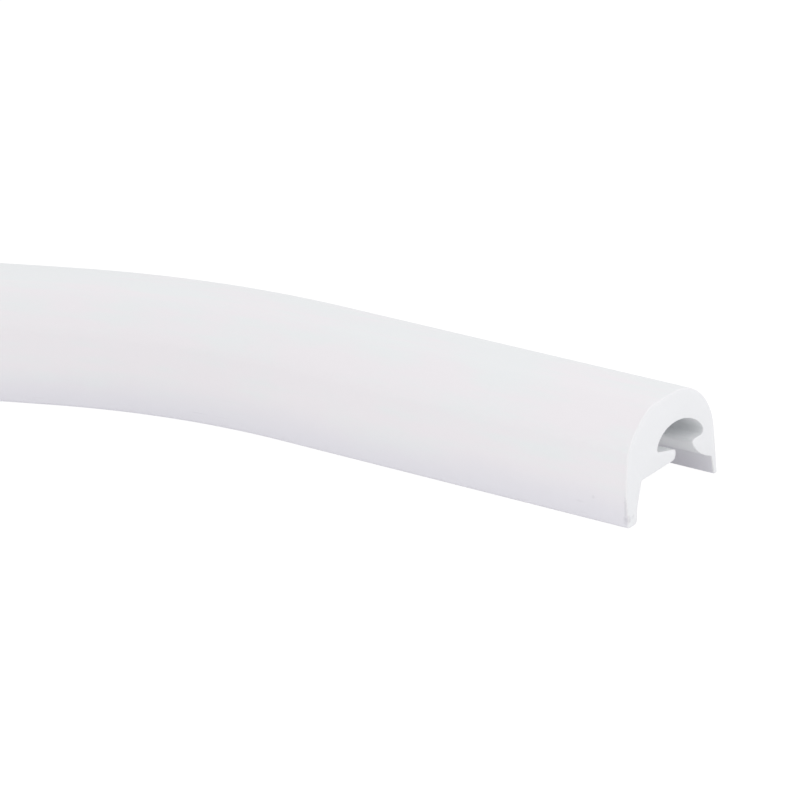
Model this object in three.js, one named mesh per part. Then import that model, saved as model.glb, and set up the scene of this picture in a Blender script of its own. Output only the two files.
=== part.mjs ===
// Rub rail: a one metre length of white flexible PVC extrusion, cut square at both ends.
// It lies on its two feet with its back up, and it is bent in plan towards its outboard side:
// a long straight run, an easy bend, a tighter bend, and a short straight end.
// Millimetres, +Z up. The origin is the middle of the bounding box, at the level of the feet.
import * as THREE from 'three';

// The length and the radii are taken along the middle of the section.
const railLength = 1000;
const cutEndStraight = 95;
const easyBend = { radius: 620, degrees: 18, steps: 8 };
const tightBend = { radius: 170, degrees: 22, steps: 9 };

// The outside of the section. Across is counted from the outer edge of the outboard foot.
const railWidth = 40;
const railHeight = 26.7;
const sideSwell = 1.6;
const shoulderInset = -0.5;
const shoulderHeight = 18.1;
const crownStart = 10.5;
const crownFlat = 9;
const flankInset = 2;
const flankHeight = 12.2;
const flankLean = 2.6;
const flankSwell = 0.84;

// The outboard leg is long and thick, and its lip has a flat seat underneath.
const outboardFootThickness = 3.9;
const outboardFootStraight = 3.6;
const outboardRootThickness = 5.6;
const seatHeight = 9.9;
const outboardLipReach = 15;
const outboardLipTip = 2.4;
const outboardLipRise = 2.1;

// The inboard leg is thin and short below its lip, which slopes up from its root.
const inboardFootThickness = 1.5;
const inboardRootThickness = 2.9;
const inboardRootHeight = 5;
const inboardLipReach = 9.2;
const inboardLipTopHeight = 12;
const inboardLipBelly = { fromTip: 1.3, aboveRoot: 2.6 };

// The arched hollow above the two lips.
const boreOutboardWall = 12.2;
const boreInboardWall = 6.8;
const boreCrownAcross = 20;
const crownThickness = 7.5;

// Small roundings, as radii.
const footRound = 1;
const thinFootRound = 0.5;
const rootRound = 0.7;
const lipRound = 0.6;
const seatTipRound = 1.3;
const boreCornerRound = 1;

// How far each curve keeps to its two tangents: 2/3 is a parabola, and more is squarer.
const parabola = 2 / 3;
const fullness = { shoulder: 0.38, inboardShoulder: 0.55, lip: 0.6, archInboard: 0.46, archOutboard: 0.58 };

const whitePvc = new THREE.MeshStandardMaterial({ color: 0xebedef, roughness: 0.4, metalness: 0 });

// A curve between two points that leaves and arrives along the lines through a third one.
function sweep(start, crossing, end, keep, segments) {
  const from = new THREE.Vector2(...start);
  const to = new THREE.Vector2(...end);
  const middle = new THREE.Vector2(...crossing);
  const curve = new THREE.CubicBezierCurve(
    from,
    from.clone().lerp(middle, keep),
    to.clone().lerp(middle, keep),
    to,
  );
  return curve.getPoints(segments).slice(1, -1).map((point) => ({ at: point, round: 0 }));
}

function corner(place, round = 0) {
  return { at: new THREE.Vector2(...place), round };
}

// The arc that replaces a corner, tangent to both of its sides.
function roundedCorner(before, place, after, round, segments = 5) {
  const toBefore = before.clone().sub(place).normalize();
  const toAfter = after.clone().sub(place).normalize();
  const halfAngle = Math.acos(THREE.MathUtils.clamp(toBefore.dot(toAfter), -1, 1)) / 2;
  const middle = toBefore.clone().add(toAfter).normalize().multiplyScalar(round / Math.sin(halfAngle));
  const centre = place.clone().add(middle);
  const start = place.clone().addScaledVector(toBefore, round / Math.tan(halfAngle));
  const turn = (Math.PI - 2 * halfAngle) * Math.sign(toAfter.cross(toBefore));
  const points = [];
  for (let step = 0; step <= segments; step += 1) {
    points.push(start.clone().rotateAround(centre, (turn * step) / segments));
  }
  return points;
}

// Up the outboard side, over the crown and down the inboard side.
function outside() {
  const shoulder = [shoulderInset, shoulderHeight];
  const crownEnd = [crownStart + crownFlat, railHeight];
  const flank = [railWidth - flankInset, flankHeight];
  return [
    corner([0, 0], footRound),
    ...sweep([0, 0], [-sideSwell, shoulderHeight / 2], shoulder, parabola, 6),
    corner(shoulder),
    ...sweep(shoulder, [0, railHeight], [crownStart, railHeight], fullness.shoulder, 10),
    corner([crownStart, railHeight]),
    corner(crownEnd),
    ...sweep(crownEnd, [flank[0] - flankLean, railHeight], flank, fullness.inboardShoulder, 14),
    corner(flank),
    ...sweep(flank, [railWidth - flankSwell, flankHeight / 2], [railWidth, 0], parabola, 5),
    corner([railWidth, 0], thinFootRound),
  ];
}

// Up the inside of the inboard leg, and round its sloping lip to the corner of the hollow.
function inboardLeg() {
  const root = [railWidth - inboardRootThickness, inboardRootHeight];
  const tip = [root[0] - inboardLipReach, inboardLipTopHeight];
  const belly = [tip[0] + inboardLipBelly.fromTip, root[1] + inboardLipBelly.aboveRoot];
  return [
    corner([railWidth - inboardFootThickness, 0], thinFootRound),
    corner(root, rootRound),
    ...sweep(root, belly, tip, fullness.lip, 8),
    corner(tip, lipRound),
    corner([railWidth - boreInboardWall, inboardLipTopHeight], boreCornerRound),
  ];
}

// The arch of the hollow, from the inboard lip over to the outboard one.
function hollow(lipTopRoot) {
  const archHeight = railHeight - crownThickness;
  const inboardFoot = [railWidth - boreInboardWall, inboardLipTopHeight];
  const crown = [boreCrownAcross, archHeight];
  return [
    ...sweep(inboardFoot, [inboardFoot[0], archHeight], crown, fullness.archInboard, 12),
    corner(crown),
    ...sweep(crown, [lipTopRoot[0], archHeight], lipTopRoot, fullness.archOutboard, 8),
  ];
}

// Round the outboard lip, along its seat and down the inside of the outboard leg.
function outboardLeg(lipTopRoot) {
  const tip = outboardRootThickness + outboardLipReach;
  return [
    corner(lipTopRoot, boreCornerRound),
    corner([tip, seatHeight + outboardLipTip], lipRound),
    corner([tip, seatHeight], seatTipRound),
    corner([outboardRootThickness, seatHeight], rootRound),
    corner([outboardFootThickness, outboardFootStraight]),
    corner([outboardFootThickness, 0], footRound),
  ];
}

function railSection() {
  const lipTopRoot = [boreOutboardWall, seatHeight + outboardLipTip + outboardLipRise];
  const corners = [...outside(), ...inboardLeg(), ...hollow(lipTopRoot), ...outboardLeg(lipTopRoot)];
  const points = corners.flatMap(({ at, round }, index) => {
    const before = corners.at(index - 1).at;
    const after = corners[(index + 1) % corners.length].at;
    return round > 0 ? roundedCorner(before, at, after, round) : [at];
  });
  return new THREE.Shape(points);
}

// The next place along a straight run.
function runOn({ x, y, turned }, distance) {
  return { x: x + distance * Math.cos(turned), y: y - distance * Math.sin(turned), turned };
}

// The places along an arc that starts where the rail has come to.
function runRound({ x, y, turned }, { radius, degrees, steps }) {
  const centre = { x: x - radius * Math.sin(turned), y: y - radius * Math.cos(turned) };
  return Array.from({ length: steps }, (_, step) => {
    const angle = turned + THREE.MathUtils.degToRad((degrees * (step + 1)) / steps);
    return { x: centre.x + radius * Math.sin(angle), y: centre.y + radius * Math.cos(angle), turned: angle };
  });
}

// The places of the section along the rail: where its middle is, and the angle turned so far.
function stations() {
  const bends = [easyBend, tightBend];
  const bentLength = bends.reduce((sum, bend) => sum + bend.radius * THREE.MathUtils.degToRad(bend.degrees), 0);
  const places = [{ x: 0, y: 0, turned: 0 }];
  places.push(runOn(places.at(-1), railLength - bentLength - cutEndStraight));
  bends.forEach((bend) => places.push(...runRound(places.at(-1), bend)));
  places.push(runOn(places.at(-1), cutEndStraight));
  return places;
}

// The section is extruded with one unit from station to station, then each station is put in place.
function bentRail() {
  const places = stations();
  const spans = places.length - 1;
  const geometry = new THREE.ExtrudeGeometry(railSection(), { depth: spans, steps: spans, bevelEnabled: false });
  const position = geometry.attributes.position;
  for (let index = 0; index < position.count; index += 1) {
    const { x, y, turned } = places[Math.round(position.getZ(index))];
    const across = position.getX(index) - railWidth / 2;
    const height = position.getY(index);
    position.setXYZ(index, x + across * Math.sin(turned), y + across * Math.cos(turned), height);
  }
  geometry.computeVertexNormals();
  return geometry;
}

const rail = new THREE.Mesh(bentRail(), whitePvc);
rail.name = 'rail';
rail.geometry.computeBoundingBox();
const middle = rail.geometry.boundingBox.getCenter(new THREE.Vector3());
rail.position.set(-middle.x, -middle.y, 0);

const rubRail = new THREE.Group();
rubRail.name = 'rub_rail';
rubRail.add(rail);

export default rubRail;
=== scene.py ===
import math

import bpy
from mathutils import Matrix, Vector
from mathutils.geometry import interpolate_bezier


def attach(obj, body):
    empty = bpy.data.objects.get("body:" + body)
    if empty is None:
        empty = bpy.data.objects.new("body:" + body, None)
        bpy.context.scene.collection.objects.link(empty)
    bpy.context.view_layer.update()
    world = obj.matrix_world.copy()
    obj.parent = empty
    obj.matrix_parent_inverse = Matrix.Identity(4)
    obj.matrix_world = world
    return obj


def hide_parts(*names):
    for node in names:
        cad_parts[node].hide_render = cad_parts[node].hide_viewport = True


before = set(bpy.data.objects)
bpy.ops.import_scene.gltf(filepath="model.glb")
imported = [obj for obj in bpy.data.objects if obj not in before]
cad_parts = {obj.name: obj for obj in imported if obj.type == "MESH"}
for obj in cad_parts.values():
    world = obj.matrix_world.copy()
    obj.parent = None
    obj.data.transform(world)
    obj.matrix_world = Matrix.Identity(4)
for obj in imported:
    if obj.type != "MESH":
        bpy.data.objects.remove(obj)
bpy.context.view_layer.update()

print("packed rail loaded")

# Sizes of the rail in millimetres, as it was drawn. Across is counted from the outer edge of the
# outboard foot. The straight run starts at startX, along middleY.
rail = {
    "startX": -489.4284,
    "middleY": 59.4883,
    "length": 1000,
    "endStraight": 95,
    "straightSpans": 12,
    "easyBend": {"radius": 620, "degrees": 18, "steps": 24},
    "tightBend": {"radius": 170, "degrees": 22, "steps": 28},
    "endSpans": 6,
    "width": 40,
    "height": 26.7,
    "sideSwell": 1.6,
    "shoulder": (-0.5, 18.1),
    "crown": (10.5, 19.5),
    "flank": (38, 12.2),
    "flankLean": 2.6,
    "flankSwell": 0.84,
    "outboardFoot": 3.9,
    "outboardFootTop": 3.6,
    "outboardRoot": 5.6,
    "seatHeight": 9.9,
    "outboardLip": {"reach": 15, "tip": 2.4, "rise": 2.1},
    "inboardFoot": 1.5,
    "inboardRoot": (37.1, 5),
    "inboardLip": {"reach": 9.2, "top": 12, "bellyFromTip": 1.3, "bellyAboveRoot": 2.6},
    "boreWalls": (12.2, 6.8),
    "boreCrown": (20, 19.2),
    "footRound": 1,
    "thinFootRound": 0.5,
    "rootRound": 0.7,
    "lipRound": 0.6,
    "seatTipRound": 1.3,
    "boreRound": 1,
    "outerEdge": 0.45,
    "innerEdge": 0.15,
    "edgeSteps": 4,
    "edgeZone": 2,  # the rounded edge stays within this much of each end
    "nick": {"height": 2.2, "reach": 1.3, "depth": 0.8, "acrossTo": 0.5},
    "curves": {  # how far each curve keeps to its two tangents, and its segments
        "sideSwell": (2 / 3, 14),
        "shoulder": (0.38, 24),
        "inboardShoulder": (0.55, 32),
        "flankSwell": (2 / 3, 10),
        "lip": (0.6, 16),
        "archIn": (0.46, 24),
        "archOut": (0.58, 18),
    },
    "smoothAngle": 35,
}


# A curve between two points that leaves and arrives along the lines through a third one.
def sweep(start, crossing, end, keep, segments):
    first, middle, last = Vector(start), Vector(crossing), Vector(end)
    points = interpolate_bezier(first, first.lerp(middle, keep), last.lerp(middle, keep), last, segments + 1)
    return [(point.to_2d(), 0) for point in points[1:-1]]


# The arc that replaces a corner, tangent to both of its sides. The curve points that it passes are dropped.
def roundedCorner(places, index, radius, dropped, segments=8):
    corner, count = places[index], len(places)
    before, after = (index - 1) % count, (index + 1) % count
    while True:
        toBefore, toAfter = places[before] - corner, places[after] - corner
        half = toBefore.angle(toAfter) / 2
        reach = radius / math.tan(half)
        if toBefore.length < reach:
            dropped.add(before)
            before = (before - 1) % count
        elif toAfter.length < reach:
            dropped.add(after)
            after = (after + 1) % count
        else:
            break
    toBefore.normalize()
    toAfter.normalize()
    centre = corner + (toBefore + toAfter).normalized() * radius / math.sin(half)
    spoke = corner + toBefore * reach - centre
    turn = math.copysign(math.pi - 2 * half, toAfter.cross(toBefore))
    return [centre + Matrix.Rotation(turn * step / segments, 2) @ spoke for step in range(segments + 1)]


# The outline of the section: up the outboard side, over the back, then round the lips and the hollow.
def sectionOutline(sizes):
    shoulder, flank = sizes["shoulder"], sizes["flank"]
    width, height = sizes["width"], sizes["height"]
    crownStart, crownEnd = sizes["crown"]
    root, lip = sizes["inboardRoot"], sizes["inboardLip"]
    tip = (root[0] - lip["reach"], lip["top"])
    belly = (tip[0] + lip["bellyFromTip"], root[1] + lip["bellyAboveRoot"])
    seat, seatLip = sizes["seatHeight"], sizes["outboardLip"]
    seatTip = sizes["outboardRoot"] + seatLip["reach"]
    boreLeft, boreRight = sizes["boreWalls"][0], width - sizes["boreWalls"][1]
    boreTop = sizes["boreCrown"]
    ledge = (boreLeft, seat + seatLip["tip"] + seatLip["rise"])
    leaning = (flank[0] - sizes["flankLean"], height)
    curves = sizes["curves"]
    parts = [
        ((0, 0), sizes["footRound"]),
        *sweep((0, 0), (-sizes["sideSwell"], shoulder[1] / 2), shoulder, *curves["sideSwell"]),
        (shoulder, 0),
        *sweep(shoulder, (0, height), (crownStart, height), *curves["shoulder"]),
        ((crownStart, height), 0),
        ((crownEnd, height), 0),
        *sweep((crownEnd, height), leaning, flank, *curves["inboardShoulder"]),
        (flank, 0),
        *sweep(flank, (width - sizes["flankSwell"], flank[1] / 2), (width, 0), *curves["flankSwell"]),
        ((width, 0), sizes["thinFootRound"]),
        ((width - sizes["inboardFoot"], 0), sizes["thinFootRound"]),
        (root, sizes["rootRound"]),
        *sweep(root, belly, tip, *curves["lip"]),
        (tip, sizes["lipRound"]),
        ((boreRight, lip["top"]), sizes["boreRound"]),
        *sweep((boreRight, lip["top"]), (boreRight, boreTop[1]), boreTop, *curves["archIn"]),
        (boreTop, 0),
        *sweep(boreTop, (boreLeft, boreTop[1]), ledge, *curves["archOut"]),
        (ledge, sizes["boreRound"]),
        ((seatTip, seat + seatLip["tip"]), sizes["lipRound"]),
        ((seatTip, seat), sizes["seatTipRound"]),
        ((sizes["outboardRoot"], seat), sizes["rootRound"]),
        ((sizes["outboardFoot"], sizes["outboardFootTop"]), 0),
        ((sizes["outboardFoot"], 0), sizes["footRound"]),
    ]
    places = [Vector(place) for place, _ in parts]
    dropped = set()
    arcs = {
        index: roundedCorner(places, index, radius, dropped)
        for index, (_, radius) in enumerate(parts) if radius
    }
    outline, outsidePoints = [], 0
    for index, (place, _) in enumerate(parts):
        if index not in dropped:
            outline += arcs.get(index, [places[index]])
        if place == (width, 0):
            outsidePoints = len(outline)
    return outline, outsidePoints


def bentLength(bend):
    return bend["radius"] * math.radians(bend["degrees"])


# The run from the far end to the first bend.
def straightLength(sizes):
    bends = bentLength(sizes["easyBend"]) + bentLength(sizes["tightBend"])
    return sizes["length"] - sizes["endStraight"] - bends


# How far along the rail a point is, and how far it stands from the outboard foot's outer edge.
def placeOnRail(point, sizes):
    x, y, height = (1000 * value for value in point)
    easy, tight = sizes["easyBend"], sizes["tightBend"]
    straight = straightLength(sizes)
    bendX = sizes["startX"] + straight
    if x <= bendX:
        return Vector((x - sizes["startX"], y - sizes["middleY"] + sizes["width"] / 2, height)) / 1000
    centre = Vector((bendX, sizes["middleY"] - easy["radius"]))
    along, turned = straight, 0
    for bend in (easy, tight):
        spoke = Vector((x, y)) - centre
        swept = math.atan2(spoke.x, spoke.y) - turned
        if swept <= math.radians(bend["degrees"]):
            across = spoke.length - bend["radius"]
            return Vector((along + bend["radius"] * swept, across + sizes["width"] / 2, height)) / 1000
        along += bentLength(bend)
        turned += math.radians(bend["degrees"])
        outwards = Vector((math.sin(turned), math.cos(turned)))
        if bend is easy:
            centre += outwards * (easy["radius"] - tight["radius"])
    spoke = Vector((x, y)) - centre
    onwards = Vector((outwards.y, -outwards.x))
    across = spoke.dot(outwards) - tight["radius"]
    return Vector((along + spoke.dot(onwards), across + sizes["width"] / 2, height)) / 1000


# The outline drawn in by the edge's rounding: a full quarter turn is back at the outline itself.
# Each point comes with its distance from the end. A nick is a stretch where the rounding is deeper.
def roundedEdge(outline, outsidePoints, sizes, turn, nick=None):
    ring = []
    for index, point in enumerate(outline):
        before = (point - outline[index - 1]).normalized()
        after = (outline[(index + 1) % len(outline)] - point).normalized()
        inwards = Vector((before.y + after.y, -before.x - after.x)).normalized()
        mitre = max(inwards.dot(Vector((after.y, -after.x))), 0.5)
        outside = index < outsidePoints
        radius = edgeRadius(point, outside, sizes)
        if nick and outside and point.x < nick["acrossTo"]:
            radius += nick["depth"] * math.exp(-(((point.y - nick["height"]) / nick["reach"]) ** 2))
        ring.append((point + inwards * radius * (1 - math.sin(turn)) / mitre, radius * (1 - math.cos(turn))))
    return ring


# The saw leaves the outer edge rounder than the edges inside, and the two blend along the feet.
def edgeRadius(point, outside, sizes):
    outer, inner = sizes["outerEdge"], sizes["innerEdge"]
    aboveFoot = min(max(point.y / sizes["footRound"], 0), 1)
    return inner + (outer - inner) * (0.5 + 0.5 * aboveFoot if outside else 0.5 - 0.5 * aboveFoot)


# Puts the points that are selected in their places, each by its number in the outline.
def setRing(piece, placeOf):
    bpy.ops.object.mode_set(mode="OBJECT")
    numbers = piece.data.attributes["outlineNumber"].data
    for index, vertex in enumerate(piece.data.vertices):
        if vertex.select:
            vertex.co = placeOf(numbers[index].value)
    bpy.ops.object.mode_set(mode="EDIT")


# Extrudes the open edge a little way, and puts the new ring in its place.
def addRing(piece, onwards, placeOf):
    nudge = tuple(onwards * 0.0001)
    bpy.ops.mesh.extrude_edges_move(TRANSFORM_OT_translate={"value": nudge})
    setRing(piece, placeOf)


# Extrudes the open edge straight on, in equal spans.
def runOn(onwards, distance, spans):
    step = tuple(onwards * (distance / spans / 1000))
    for _ in range(spans):
        bpy.ops.mesh.extrude_edges_move(TRANSFORM_OT_translate={"value": step})


# The straight run, from the rounded edge of its end up to the first bend.
def extrudeStraight(piece, outline, rings, sizes, straight):
    onwards = Vector((1, 0, 0))
    outerY = sizes["middleY"] - sizes["width"] / 2
    zone = sizes["edgeZone"]

    def atStart(ring):
        return lambda number: Vector(
            (sizes["startX"] + ring[number][1], outerY + ring[number][0].x, ring[number][0].y)
        ) / 1000

    setRing(piece, atStart(rings[0]))
    for ring in [*rings[1:], [(point, zone) for point in outline]]:
        addRing(piece, onwards, atStart(ring))
    runOn(onwards, straight - zone, sizes["straightSpans"])


# Both bends. What comes back is the middle of the section at their end, and the way across it.
def spinBends(sizes, straight):
    easy, tight = sizes["easyBend"], sizes["tightBend"]
    centre = Vector((sizes["startX"] + straight, sizes["middleY"] - easy["radius"], 0))
    turned = 0
    for bend in (easy, tight):
        bpy.ops.mesh.spin(
            steps=bend["steps"],
            dupli=False,
            angle=math.radians(bend["degrees"]),
            center=tuple(centre / 1000),
            axis=(0, 0, 1),
        )
        turned += math.radians(bend["degrees"])
        across = Vector((math.sin(turned), math.cos(turned), 0))
        if bend is easy:
            centre += across * (easy["radius"] - tight["radius"])
    return centre + across * tight["radius"], across


# The short straight end, out to its own rounded edge.
def extrudeEnd(piece, rings, sizes, bendEnd, across):
    onwards = Vector((across.y, -across.x, 0))
    runOn(onwards, sizes["endStraight"] - sizes["edgeZone"], sizes["endSpans"])
    cutMiddle = bendEnd + onwards * sizes["endStraight"]

    def atCut(ring):
        return lambda number: (
            cutMiddle
            + across * (ring[number][0].x - sizes["width"] / 2)
            - onwards * ring[number][1]
            + Vector((0, 0, ring[number][0].y))
        ) / 1000

    for ring in reversed(rings):
        addRing(piece, onwards, atCut(ring))


# Each end is closed with one flat face.
def closeEnds(piece):
    bpy.ops.mesh.select_all(action="DESELECT")
    bpy.ops.mesh.select_mode(type="EDGE")
    bpy.ops.mesh.select_non_manifold()
    bpy.ops.mesh.fill_holes(sides=0)
    bpy.ops.mesh.select_all(action="SELECT")
    bpy.ops.mesh.normals_make_consistent(inside=False)
    bpy.ops.object.mode_set(mode="OBJECT")


# The section is drawn at the far end and carried along, through both bends, to the end with the nick.
def buildRail(sizes):
    outline, outsidePoints = sectionOutline(sizes)
    turns = [math.pi / 2 * step / sizes["edgeSteps"] for step in range(sizes["edgeSteps"] + 1)]
    rings = [roundedEdge(outline, outsidePoints, sizes, turn) for turn in turns]
    nickedRings = [roundedEdge(outline, outsidePoints, sizes, turn, sizes["nick"]) for turn in turns]
    bpy.ops.object.select_all(action="DESELECT")
    bpy.ops.mesh.primitive_circle_add(vertices=len(outline), radius=0.02, fill_type="NOTHING")
    piece = bpy.context.active_object
    piece.name = "rubRail"
    numbers = piece.data.attributes.new("outlineNumber", "INT", "POINT")
    numbers.data.foreach_set("value", range(len(outline)))

    straight = straightLength(sizes)
    bpy.ops.object.mode_set(mode="EDIT")
    bpy.ops.mesh.select_all(action="SELECT")
    extrudeStraight(piece, outline, rings, sizes, straight)
    bendEnd, across = spinBends(sizes, straight)
    extrudeEnd(piece, nickedRings, sizes, bendEnd, across)
    closeEnds(piece)
    print("rail: %d points in the section" % len(outline))

    bpy.ops.object.shade_smooth_by_angle(angle=math.radians(sizes["smoothAngle"]))
    piece.data.attributes.remove(piece.data.attributes["outlineNumber"])
    places = piece.data.attributes.new("railPlace", "FLOAT_VECTOR", "POINT")
    for index, vertex in enumerate(piece.data.vertices):
        places.data[index].vector = placeOnRail(vertex.co, sizes)
    return piece


# A socket of a material or the sky, so that sums on its values are written as sums.
class Channel:
    def __init__(self, tree, socket=None):
        self.tree = tree
        self.socket = socket

    def node(self, kind, settings=None, inputs=None, output=0):
        made = self.tree.nodes.new(kind)
        for name, value in (settings or {}).items():
            setattr(made, name, value)
        for name, value in (inputs or {}).items():
            if isinstance(value, Channel):
                self.tree.links.new(value.socket, made.inputs[name])
            else:
                made.inputs[name].default_value = value
        return Channel(self.tree, made.outputs[output])

    def maths(self, operation, *values):
        return self.node("ShaderNodeMath", {"operation": operation}, dict(enumerate(values)))

    def __add__(self, other):
        return self.maths("ADD", self, other)

    def __radd__(self, other):
        return self.maths("ADD", other, self)

    def __sub__(self, other):
        return self.maths("SUBTRACT", self, other)

    def __rsub__(self, other):
        return self.maths("SUBTRACT", other, self)

    def __mul__(self, other):
        return self.maths("MULTIPLY", self, other)

    def __rmul__(self, other):
        return self.maths("MULTIPLY", other, self)

    def into(self, shader, name):
        self.tree.links.new(self.socket, shader.inputs[name])


pvc = {
    "pinkish": (0.878, 0.85, 0.878, 1),
    "bluish": (0.85, 0.866, 0.88, 1),
    # painted shade: a darker colour towards the feet
    "paintedFootShade": (0.815, 0.805, 0.855, 1),
    # painted highlight: a pale colour along the rounded cut edges
    "paintedRimHighlight": (0.9, 0.89, 0.91, 1),
    "sawn": (0.845, 0.851, 0.872, 1),
    "markAndShadowLine": (0.3, 0.29, 0.33, 1),
    "roughness": {"plain": 0.4, "blotches": 0.16, "streaks": 0.1, "cut": 0.2, "scuffs": 0.5},
    "relief": {"streaks": 0.6, "grain": 0.4, "saw": 1.5, "marksAndShadowLine": 1.5},
    "bump": {"Strength": 0.08, "Distance": 0.0003},
    "blotches": {"size": (42, 85, 85), "detail": 3},
    "streaks": {"size": (40, 420, 420), "detail": 2},
    "grain": {"size": (1400, 1400, 1400), "detail": 2},
    "saw": {"size": (0, 2600, 260), "detail": 2},
    "paintedShadeHeight": (0.001, 0.012),
    "paintedShadeUneven": 0.006,
    "cool": {"streaks": 0.5, "across": 9, "from": 0.008, "range": (0.32, 0.68)},
    "cutDepth": 0.0005,
    "rimStart": 0.00015,
    "marksAndShadowLine": [
        {"place": (0.9996, -0.0002, 0.0022), "reach": (0.0008, 0.002, 0.0013), "strength": 0.28},
        # painted shadow: a thin dark line beside the pale rim on the outboard side
        {"place": (0.9996, -0.0005, 0.005), "reach": (0.0004, 0.002, 0.0036), "strength": 0.19},
        {"place": (1.0, 0.0021, 0.0024), "reach": (0.001, 0.0005, 0.0006), "strength": 0.12},
        {"place": (0.9912, -0.0006, 0.0062), "reach": (0.0005, 0.002, 0.0005), "strength": 0.1},
        {"place": (0.9875, -0.0004, 0.0043), "reach": (0.0013, 0.002, 0.0004), "strength": 0.06},
    ],
    "markEdge": {"ragged": 1.2, "range": (0.35, 1.15)},
    "scuffs": {"size": (60, 1300, 1300), "detail": 4, "above": (0.66, 0.76), "strength": 0.12},
}


# White stock with a faint mottle, pinkish on the outboard side, bluish over the back, and painted shade that
# darkens it towards the feet, with painted highlights as pale rims at the saw cuts, and a few dark marks by
# the bent end, one of them a painted shadow line beside the outboard rim.
def makePvc(look):
    material = bpy.data.materials.new("whitePvc")
    material.use_nodes = True
    tree = material.node_tree
    shader = tree.nodes["Principled BSDF"]
    paint = Channel(tree)
    place = paint.node("ShaderNodeAttribute", {"attribute_name": "railPlace"}, output="Vector")
    along, across, height = (
        paint.node("ShaderNodeSeparateXYZ", {}, {0: place}, output=axis) for axis in "XYZ"
    )

    def noise(pattern):
        sizing = {0: place, 1: pattern["size"]}
        stretched = paint.node("ShaderNodeVectorMath", {"operation": "MULTIPLY"}, sizing)
        inputs = {"Vector": stretched, "Scale": 1, "Detail": pattern["detail"]}
        return paint.node("ShaderNodeTexNoise", {}, inputs)

    def mixed(amount, first, second):
        return paint.node("ShaderNodeMix", {"data_type": "RGBA"}, {0: amount, 6: first, 7: second}, output=2)

    def ranged(value, start, end):
        inputs = {"Value": value, "From Min": start, "From Max": end}
        return paint.node("ShaderNodeMapRange", {"interpolation_type": "SMOOTHSTEP"}, inputs)

    blotches = noise(look["blotches"])
    streaks = noise(look["streaks"])
    grain = noise(look["grain"])
    # Painted shade: the colour darkens towards the feet, and the grime keeps to the same band.
    uneven = (blotches - 0.5) * look["paintedShadeUneven"]
    paintedShadeAndGrime = 1 - ranged(height + uneven, *look["paintedShadeHeight"])
    cool = look["cool"]
    coolness = blotches + (streaks - 0.5) * cool["streaks"] + (across - cool["from"]) * cool["across"]
    tone = mixed(ranged(coolness, *cool["range"]), look["pinkish"], look["bluish"])
    tone = mixed(paintedShadeAndGrime, tone, look["paintedFootShade"])

    # The saw leaves both ends duller, with fine lines across them. The pale rim is a painted highlight on
    # the rounded cut edge.
    fromEnd = along.maths("MINIMUM", along, rail["length"] / 1000 - along)
    cut = 1 - ranged(fromEnd, 0, look["cutDepth"])
    tone = mixed(cut, tone, look["paintedRimHighlight"])
    tone = mixed(1 - ranged(fromEnd, 0, look["rimStart"]), tone, look["sawn"])
    saw = noise(look["saw"]) * cut

    scuffs, markEdge = look["scuffs"], look["markEdge"]
    scuffed = ranged(noise(scuffs), *scuffs["above"]) * scuffs["strength"]
    dark = scuffed * paintedShadeAndGrime
    # The dark marks include one painted shadow line beside the outboard rim.
    for markAndShadowLine in look["marksAndShadowLine"]:
        offset = paint.node("ShaderNodeVectorMath", {"operation": "SUBTRACT"}, {0: place, 1: markAndShadowLine["place"]})
        offset = paint.node("ShaderNodeVectorMath", {"operation": "DIVIDE"}, {0: offset, 1: markAndShadowLine["reach"]})
        away = paint.node("ShaderNodeVectorMath", {"operation": "LENGTH"}, {0: offset}, output="Value")
        ragged = away + (grain - 0.5) * markEdge["ragged"]
        spot = (1 - ranged(ragged, *markEdge["range"])) * markAndShadowLine["strength"]
        dark = dark.maths("MAXIMUM", dark, spot)
    tone = mixed(dark, tone, look["markAndShadowLine"])
    tone.into(shader, "Base Color")

    duller = look["roughness"]
    rough = duller["plain"] + (blotches - 0.5) * duller["blotches"] + (streaks - 0.5) * duller["streaks"]
    rough += cut * duller["cut"] + scuffed * duller["scuffs"]
    rough.into(shader, "Roughness")
    raised = look["relief"]
    relief = streaks * raised["streaks"] + grain * raised["grain"]
    relief += saw * raised["saw"] - dark * raised["marksAndShadowLine"]
    bump = paint.node("ShaderNodeBump", {}, {**look["bump"], "Height": relief}, output="Normal")
    bump.into(shader, "Normal")
    return material


rubRail = buildRail(rail)
rubRail.data.materials.append(makePvc(pvc))
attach(rubRail, "root")
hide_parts("rail")
print("rail modelled: %d faces" % len(rubRail.data.polygons))

studio = {
    "floorSize": 12,
    "floorRoughness": 0.9,
    "paleFloor": {"height": -0.0002, "colour": (0.1, 0.1, 0.1, 1), "glow": 0.97},
    "underFloor": {"height": -0.0004, "colour": (0.8, 0.8, 0.8, 1), "glow": 0.2},
    "sky": {"everywhere": 0.215, "above": 0.41, "left": 0.76, "right": 0.8, "behind": 0.4},
    "lamps": {
        "rightBox": {"place": (1.9, -1.3, 0.9), "size": 1.4, "power": 4.9},
        "nearBox": {"place": (0.35, -0.42, 0.2), "size": 0.45, "power": 0.2},
        "frontBox": {"place": (0.3, -2.0, 1.7), "size": 1.2, "power": 0.4},
    },
    "lampsAim": (0.35, 0, 0),
}


def addFloor(name, settings):
    look = settings[name]
    bpy.ops.object.select_all(action="DESELECT")
    bpy.ops.mesh.primitive_plane_add(size=settings["floorSize"], location=(0, 0, look["height"]))
    floor = bpy.context.active_object
    floor.name = name
    material = bpy.data.materials.new(name)
    material.use_nodes = True
    shader = material.node_tree.nodes["Principled BSDF"]
    shader.inputs["Base Color"].default_value = look["colour"]
    shader.inputs["Roughness"].default_value = settings["floorRoughness"]
    shader.inputs["Specular IOR Level"].default_value = 0
    shader.inputs["Emission Color"].default_value = (1, 1, 1, 1)
    shader.inputs["Emission Strength"].default_value = look["glow"]
    floor.data.materials.append(material)
    return floor


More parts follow.
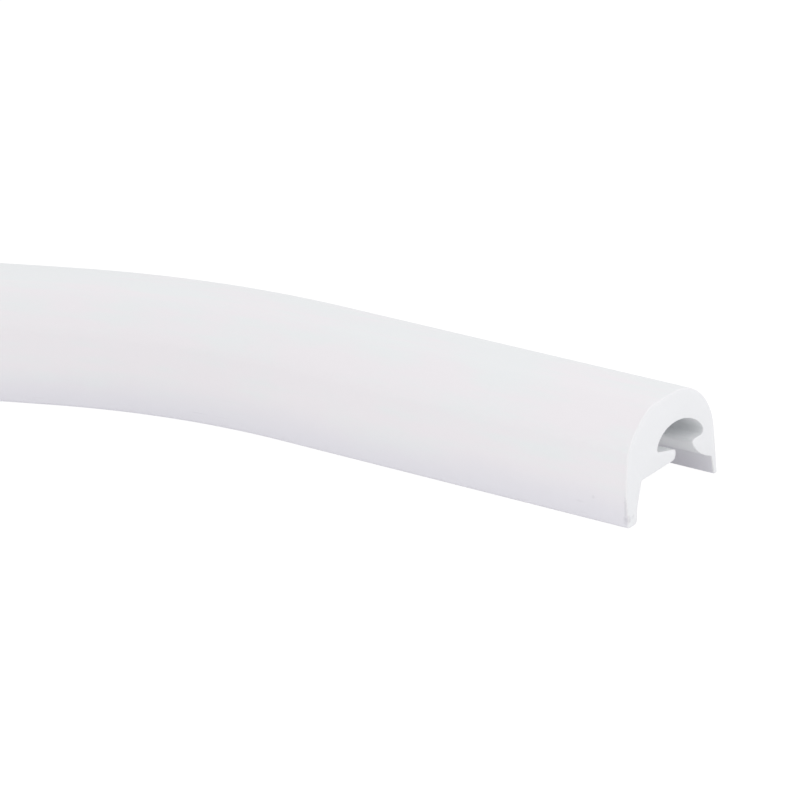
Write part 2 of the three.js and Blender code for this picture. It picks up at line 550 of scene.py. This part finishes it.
def buildStudio(settings):
    # The pale floor is what shows. A second floor just under it gives back the light that comes off it.
    pale = addFloor("paleFloor", settings)
    pale.visible_diffuse = False
    pale.visible_glossy = False
    under = addFloor("underFloor", settings)
    under.visible_camera = False

    # A soft sky, brighter above and behind, and most of all at both sides.
    world = bpy.data.worlds.new("studio")
    world.use_nodes = True
    background = world.node_tree.nodes["Background"]
    background.inputs["Color"].default_value = (1, 1, 1, 1)
    paint = Channel(world.node_tree)
    outlook = paint.node("ShaderNodeTexCoord", output="Generated")
    east, north, above = (
        paint.node("ShaderNodeSeparateXYZ", {}, {0: outlook}, output=axis) for axis in "XYZ"
    )
    sky = settings["sky"]
    glow = sky["everywhere"] + sky["above"] * above.maths("MAXIMUM", above, 0)
    glow += sky["right"] * east.maths("MAXIMUM", east, 0) - sky["left"] * east.maths("MINIMUM", east, 0)
    glow += sky["behind"] * north.maths("MAXIMUM", north, 0)
    glow.into(background, "Strength")
    bpy.context.scene.world = world

    for name, lamp in settings["lamps"].items():
        bpy.ops.object.light_add(type="AREA", location=lamp["place"])
        box = bpy.context.active_object
        box.name = name
        box.data.size = lamp["size"]
        box.data.energy = lamp["power"]
        box.rotation_mode = "QUATERNION"
        box.rotation_quaternion = (Vector(settings["lampsAim"]) - box.location).to_track_quat("-Z", "Y")


buildStudio(studio)
print("floor and lights placed")

# The camera stands off on a long lens, and puts the outboard foot of the cut end where it was seen.
view = {
    "distance": 1.1,
    "yaw": 6.73,
    "down": 21.88,
    "focalPixels": 4920,
    "aim": (0.46377, -0.07869, 0),
    "aimPixel": (628.2, 529.7),
    "frame": 800,
    "sensor": 36,
    "clipEnd": 50,
}


def placeCamera(settings):
    yaw, down = math.radians(settings["yaw"]), math.radians(settings["down"])
    forward = Vector((math.sin(yaw) * math.cos(down), math.cos(yaw) * math.cos(down), -math.sin(down)))
    right = Vector((math.cos(yaw), -math.sin(yaw), 0))
    up = right.cross(forward)
    middle = settings["frame"] / 2
    focal = settings["focalPixels"]
    ray = forward + right * (settings["aimPixel"][0] - middle) / focal
    ray -= up * (settings["aimPixel"][1] - middle) / focal
    bpy.ops.object.camera_add(location=Vector(settings["aim"]) - ray * settings["distance"])
    camera = bpy.context.active_object
    camera.rotation_euler = (math.pi / 2 - down, 0, -yaw)
    camera.data.sensor_width = settings["sensor"]
    camera.data.lens = settings["sensor"] * focal / settings["frame"]
    camera.data.clip_end = settings["clipEnd"]
    bpy.context.scene.camera = camera


placeCamera(view)
bpy.context.scene.view_settings.view_transform = "Standard"
print("camera placed")
